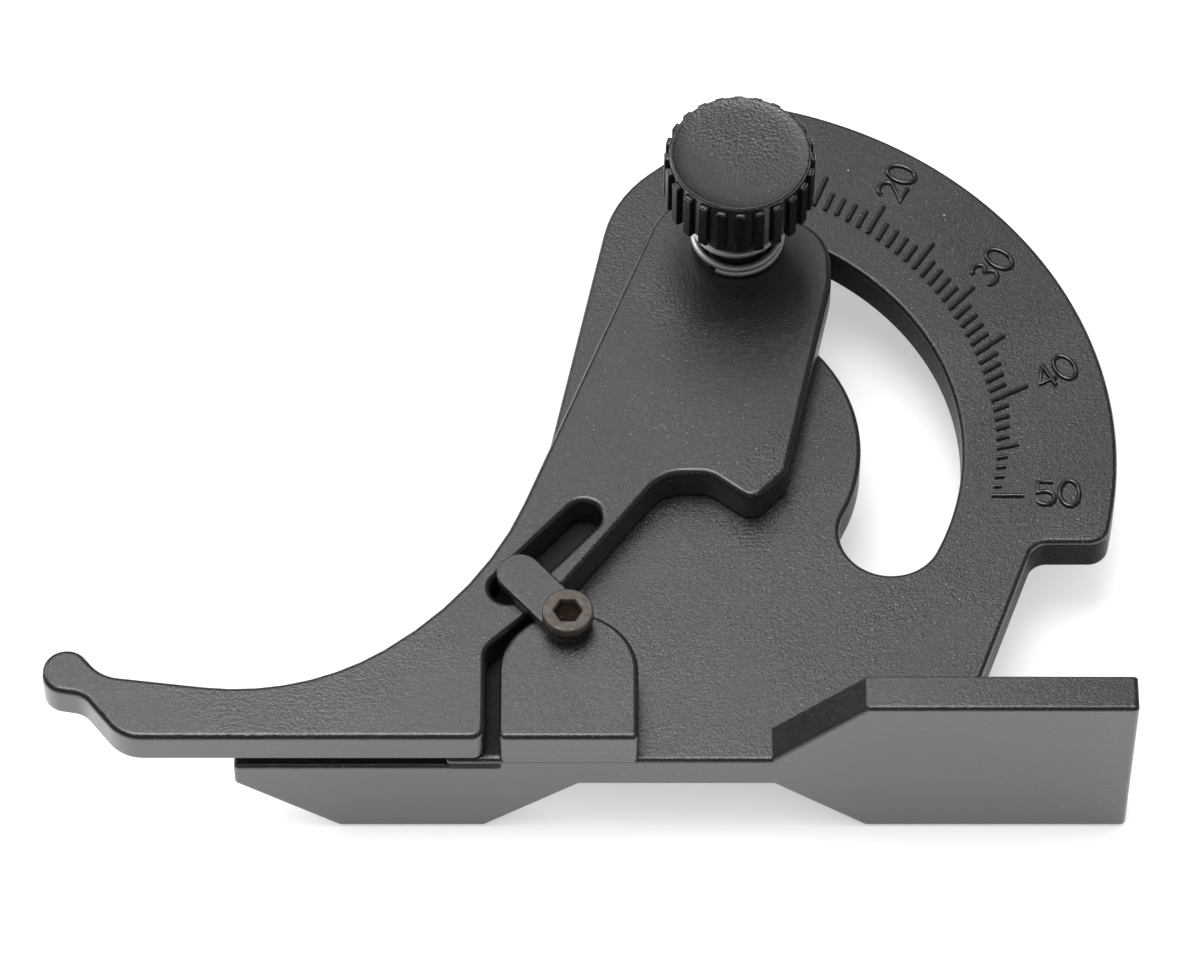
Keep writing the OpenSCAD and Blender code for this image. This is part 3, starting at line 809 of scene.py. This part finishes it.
def sweep(name, lines, half_width, half_height, sides, material):
    """Round section carried along every line, with closed ends. A ring's first point is its last."""
    touching, sharp = 0.001, 50
    mesh = bmesh.new()
    for line in lines:
        verts = [mesh.verts.new(to_row(point)) for point in line]
        if (Vector(line[0]) - Vector(line[-1])).length < touching:
            mesh.verts.remove(verts.pop())
            verts.append(verts[0])
        for a, b in zip(verts, verts[1:]):
            mesh.edges.new((a, b))
    piece = mesh_piece(name, mesh, material, sharp)
    tree, values = node_tree(name + "_sweep", (
        ("Section", "NodeSocketVector", (half_width * MM, half_height * MM, 1)),
        ("Sides", "NodeSocketInt", sides)))
    new, link = tree.nodes.new, tree.links.new
    given, result = new("NodeGroupInput"), new("NodeGroupOutput")
    path, upright = new("GeometryNodeMeshToCurve"), new("GeometryNodeSetCurveNormal")
    ring, section = new("GeometryNodeCurvePrimitiveCircle"), new("GeometryNodeTransform")
    tube, real = new("GeometryNodeCurveToMesh"), new("GeometryNodeRealizeInstances")
    painted = new("GeometryNodeSetMaterial")
    upright.mode = "Z_UP"
    tube.inputs["Fill Caps"].default_value = True
    painted.inputs["Material"].default_value = material
    link(given.outputs["Geometry"], path.inputs[0])
    link(path.outputs[0], upright.inputs[0])
    link(given.outputs["Sides"], ring.inputs["Resolution"])
    link(ring.outputs[0], section.inputs[0])
    link(given.outputs["Section"], section.inputs["Scale"])
    link(upright.outputs[0], tube.inputs["Curve"])
    link(section.outputs[0], tube.inputs["Profile Curve"])
    link(tube.outputs[0], real.inputs[0])
    link(real.outputs[0], painted.inputs["Geometry"])
    link(painted.outputs[0], result.inputs[0])
    plain_result(piece, tree, values)
    shape = bmesh.new()
    shape.from_mesh(piece.data)
    bmesh.ops.recalc_face_normals(shape, faces=shape.faces)
    shape.to_mesh(piece.data)
    shape.free()
    for polygon in piece.data.polygons:
        polygon.use_smooth = True
    piece.data.set_sharp_from_angle(angle=math.radians(sharp))
    return piece


# The clamp knob, and its lip as steps in and down from the lip's greatest radius at the knob's top
RIBS = 24
KNOB_R = 9.35
LIP = ((-0.52, -0.03), (-0.40, 0), (-0.22, -0.01), (-0.06, -0.12), (0, -0.30))


def knob_profile(core_r):
    """Dished top, lip, core, hub and the bore for the insert, as (radius, height)."""
    lip_r, lip_h, core_edge = 8.75, 0.52, 0.3
    dish_r, dish_depth, dish_rise, dish_steps = lip_r - 0.75, 0.22, 0.14, 6
    hub_r, hub_foot, hub_edge = 4.3, 6.25, 0.15
    bore_r, bore_top = 3.12, 14.0
    profile = []
    for i in range(dish_steps + 1):
        share = i / dish_steps
        profile.append((share * dish_r, KNOB_TOP - dish_depth + dish_rise * share * share))
    profile += [(lip_r + x, KNOB_TOP + z) for x, z in LIP]
    return profile + [
        (core_r, KNOB_TOP - lip_h),
        (core_r, KNOB_UNDER + core_edge),
        (core_r - core_edge, KNOB_UNDER),
        (hub_r, KNOB_UNDER),
        (hub_r, hub_foot + hub_edge),
        (hub_r - hub_edge, hub_foot),
        (bore_r, hub_foot),
        (bore_r, bore_top),
        (0, bore_top),
    ]


def build_knob():
    """Core with a dished top, and the fluted ribs that stand on it."""
    core_r, rib_root = 8.62, 0.4
    rib_w, rib_taper, root_corner, tip_corner = 1.36, 0.94, 0.05, 0.22
    rib_below_top, rib_under_edge, rib_top_edge = 0.62, 0.25, 0.3
    core = lathe("knob_core", knob_profile(core_r), KNOB, KNOB_NYLON, segments=144, sharp=30)
    inner, outer = core_r - rib_root, KNOB_R
    root, tip = rib_w / 2, rib_w / 2 * rib_taper
    outline = rounded([
        (inner, -root, root_corner),
        (outer, -tip, tip_corner),
        (outer, tip, tip_corner),
        (inner, root, root_corner),
    ])
    # One rib about the row frame's own origin, for the node tree to copy from there
    at_zero = [point - ORIGIN.xy for point in outline]
    rib_top = KNOB_TOP - rib_below_top
    shell = Shell()
    # The ribs' sides wear the darker wall nylon: painted shade between the ribs.
    shell.prism(at_zero, [], KNOB_UNDER, rib_top, rib_under_edge, rib_top_edge, wall=1)
    ribs = shell.finish("knob_ribs", KNOB_NYLON, SHADED_WALL_NYLON)
    return core, repeat_about(ribs, RIBS, KNOB, KNOB_NYLON)


def build_spring():
    """One wire wound about the hub, with closer turns at both ends."""
    wire_r, outer_d = 0.44, 11.85
    turns, per_turn, sides, start = 4.5, 64, 16, -119
    closed, closed_pitch = 1.1, 1.0
    mid_r = outer_d / 2 - wire_r
    low = ARM_BACK + ARM_T + SLIDE_GAP + wire_r
    high = KNOB_UNDER - SLIDE_GAP - wire_r
    open_pitch = (high - low - 2 * closed * closed_pitch) / (turns - 2 * closed)
    line = []
    for i in range(int(turns * per_turn) + 1):
        wound = i / per_turn
        if wound < closed:
            height = low + closed_pitch * wound
        elif wound > turns - closed:
            height = high - closed_pitch * (turns - wound)
        else:
            height = low + closed_pitch * closed + open_pitch * (wound - closed)
        centre = KNOB + polar(mid_r, start + 360 * wound)
        line.append((centre.x, centre.y, height))
    return sweep("clamp_spring", [line], wire_r, wire_r, sides, SPRING_WIRE)


# The clamp's parts in the window and behind the plate
def build_shoe():
    """Bent block in the window, its wider flange behind the plate and the tube the arm turns on."""
    lip, block_span, block_sunk = 2.4, 7, 0.3
    tube_r, tube_root, bore_r = 4, -1, 2.02
    block_edge, flange_back_edge, flange_front_edge, tube_edge = 0.3, 0.5, 0.3, 0.25
    half = WINDOW_W / 2 - SLIDE_GAP
    front = -PLATE_T - SLIDE_GAP
    flange_t = BAR_BACK - PLATE_T - SLIDE_GAP - WASHER_T - CLAMP_HEAD_H
    flange_span = block_span - math.degrees(math.asin(lip / WINDOW_R))
    bore = circle(KNOB, bore_r, 48)
    block = bent_block(half, KNOB_ANGLE - block_span, KNOB_ANGLE + block_span)
    flange = bent_block(half + lip, KNOB_ANGLE - flange_span, KNOB_ANGLE + flange_span)
    tube = circle(KNOB, tube_r)
    shell = Shell()
    shell.prism(block, [bore], front - block_sunk, -SLIDE_GAP, 0, block_edge)
    shell.prism(flange, [bore], front - flange_t, front, flange_back_edge, flange_front_edge)
    shell.prism(tube, [bore], tube_root, ARM_BACK + ARM_T - SLIDE_GAP, 0, tube_edge)
    return shell.finish("window_shoe", BODY_NYLON)


def build_clamp_screw():
    """Long screw with its socket head behind the washer."""
    head_r, socket_r, socket_corner, socket_depth = 3.5, 1.75, 0.08, 2.3
    back_edge, front_edge, tip_edge, tip = 0.3, 0.1, 0.3, 19.3
    overlap, stem_overlap = 0.01, 0.1
    back = -BAR_BACK
    head_top, socket_floor = back + CLAMP_HEAD_H, back + socket_depth
    outer = circle(KNOB, head_r, 72)
    socket = hexagon(KNOB, socket_r, socket_corner)
    stem = circle(KNOB, CLAMP_SCREW_R, 48)
    shell = Shell()
    shell.prism(outer, [socket], back, socket_floor + overlap, back_edge, 0)
    shell.prism(outer, [], socket_floor - overlap, head_top, 0, front_edge)
    shell.prism(stem, [], head_top - stem_overlap, tip, 0, tip_edge)
    return shell.finish("clamp_bolt", CLAMP_STEEL)


def build_washer():
    outer_r, hole_r, edge = 5, 2.05, 0.12
    back = -BAR_BACK + CLAMP_HEAD_H
    rim, hole = circle(KNOB, outer_r, 72), circle(KNOB, hole_r, 48)
    shell = Shell()
    shell.prism(rim, [hole], back, back + WASHER_T, edge, edge)
    return shell.finish("clamp_washer", CLAMP_STEEL)


def dress():
    """Builds every piece, gives it its body and hides the solid it stands for."""
    body = build_body()
    scale = build_scale()
    arm = build_arm()
    tab = build_tab()
    screw, stem = build_tab_screw()
    core, ribs = build_knob()
    spring = build_spring()
    shoe = build_shoe()
    bolt = build_clamp_screw()
    washer = build_washer()
    for piece, name, slot, nodes in (
            (body, "base", "black_nylon", ["gauge_body"]),
            (scale, "base", "black_nylon", []),
            (arm, "lever", "black_nylon", ["lever_arm"]),
            (tab, "base", "black_nylon", ["retainer_tab"]),
            (screw, "base", "dark_steel", ["tab_screw"]),
            (stem, "base", "dark_steel", []),
            (core, "knob", "knob_nylon", ["thumb_knob"]),
            (ribs, "knob", "knob_nylon", []),
            (spring, "knob", "bright_steel", ["knob_spring"]),
            (shoe, "carriage", "black_nylon", ["guide_shoe"]),
            (bolt, "carriage", "plain_steel", ["clamp_screw"]),
            (washer, "carriage", "plain_steel", ["rear_washer"])):
        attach(piece, name)
        if nodes:
            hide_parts(*nodes)
    for node, material in (("pivot_pin", CLAMP_STEEL), ("knob_insert", INSERT_BRASS)):
        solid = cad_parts[node]
        solid.data.materials.clear()
        solid.data.materials.append(material)


# Floor, world and lamps
def build_floor():
    """White table, lit up for the camera and brighter in reflections of its front part."""
    half, drop, front_of = 0.14, 0.0002, -0.03
    to_camera, mirrored_all, mirrored_front = 0.355, 0.1, 0.42
    mesh = bmesh.new()
    for x, y in ((-1, -1), (1, -1), (1, 1), (-1, 1)):
        mesh.verts.new((x * half, y * half, -drop))
    mesh.faces.new(mesh.verts)
    paint = Paint("white_table")
    rays = paint.node("ShaderNodeLightPath")
    split = paint.node("ShaderNodeSeparateXYZ", None, {0: paint.place})
    front = paint.out(split, "Y") < front_of
    mirrored = paint.out(rays, "Is Glossy Ray") * (front * mirrored_front + mirrored_all)
    seen = paint.out(rays, "Is Camera Ray") * to_camera + mirrored
    paint.set(Base_Color=(0.78, 0.78, 0.78), Roughness=0.6, Specular_IOR_Level=0.2)
    glow = paint.node("ShaderNodeEmission", None, {"Color": (1, 1, 1), "Strength": seen})
    both = paint.node("ShaderNodeAddShader")
    paint.tree.links.new(paint.shader.outputs[0], both.inputs[0])
    paint.tree.links.new(glow.outputs[0], both.inputs[1])
    paint.tree.links.new(both.outputs[0], paint.tree.nodes["Material Output"].inputs[0])
    floor = mesh_piece("table", mesh, paint.material, 30)


def build_world():
    """White to the camera, dim in reflections, an even fill for everything else."""
    world = bpy.data.worlds.new("studio")
    bpy.context.scene.world = world
    world.use_nodes = True
    nodes, links = world.node_tree.nodes, world.node_tree.links
    rays = nodes.new("ShaderNodeLightPath")
    fill, to_mirrors, to_camera = 1.0, 0.16, 1.0
    levels = (("Is Glossy Ray", fill, to_mirrors), ("Is Camera Ray", None, to_camera))
    strength = None
    for ray, otherwise, level in levels:
        shade = nodes.new("ShaderNodeMix")
        shade.data_type = "FLOAT"
        shade.inputs[3].default_value = level
        links.new(rays.outputs[ray], shade.inputs[0])
        if strength is None:
            shade.inputs[2].default_value = otherwise
        else:
            links.new(strength, shade.inputs[2])
        strength = shade.outputs[0]
    links.new(strength, nodes["Background"].inputs["Strength"])
    nodes["Background"].inputs["Color"].default_value = (1, 1, 1, 1)


# Softboxes aimed at the row frame's origin: name, place and size in metres, power in watts
SOFTBOXES = (
    ("back_softbox", (-0.28, 0.54, 0.79), (0.8, 0.5), 1.42),
    ("top_softbox", (-0.10, 0.09, 1.09), (0.6, 0.54), 7.2),
    ("side_softbox", (-0.72, 0.45, 0.5), (0.3, 0.3), 1.3),
)


def build_softbox(name, place, size, power):
    data = bpy.data.lights.new(name, "AREA")
    data.shape = "RECTANGLE"
    data.size, data.size_y = size
    data.energy = power
    found = bpy.data.objects.new(name, data)
    bpy.context.scene.collection.objects.link(found)
    found.location = place
    found.rotation_euler = (-Vector(place)).to_track_quat("-Z", "Y").to_euler()


dress()
build_floor()
build_world()
for softbox in SOFTBOXES:
    build_softbox(*softbox)
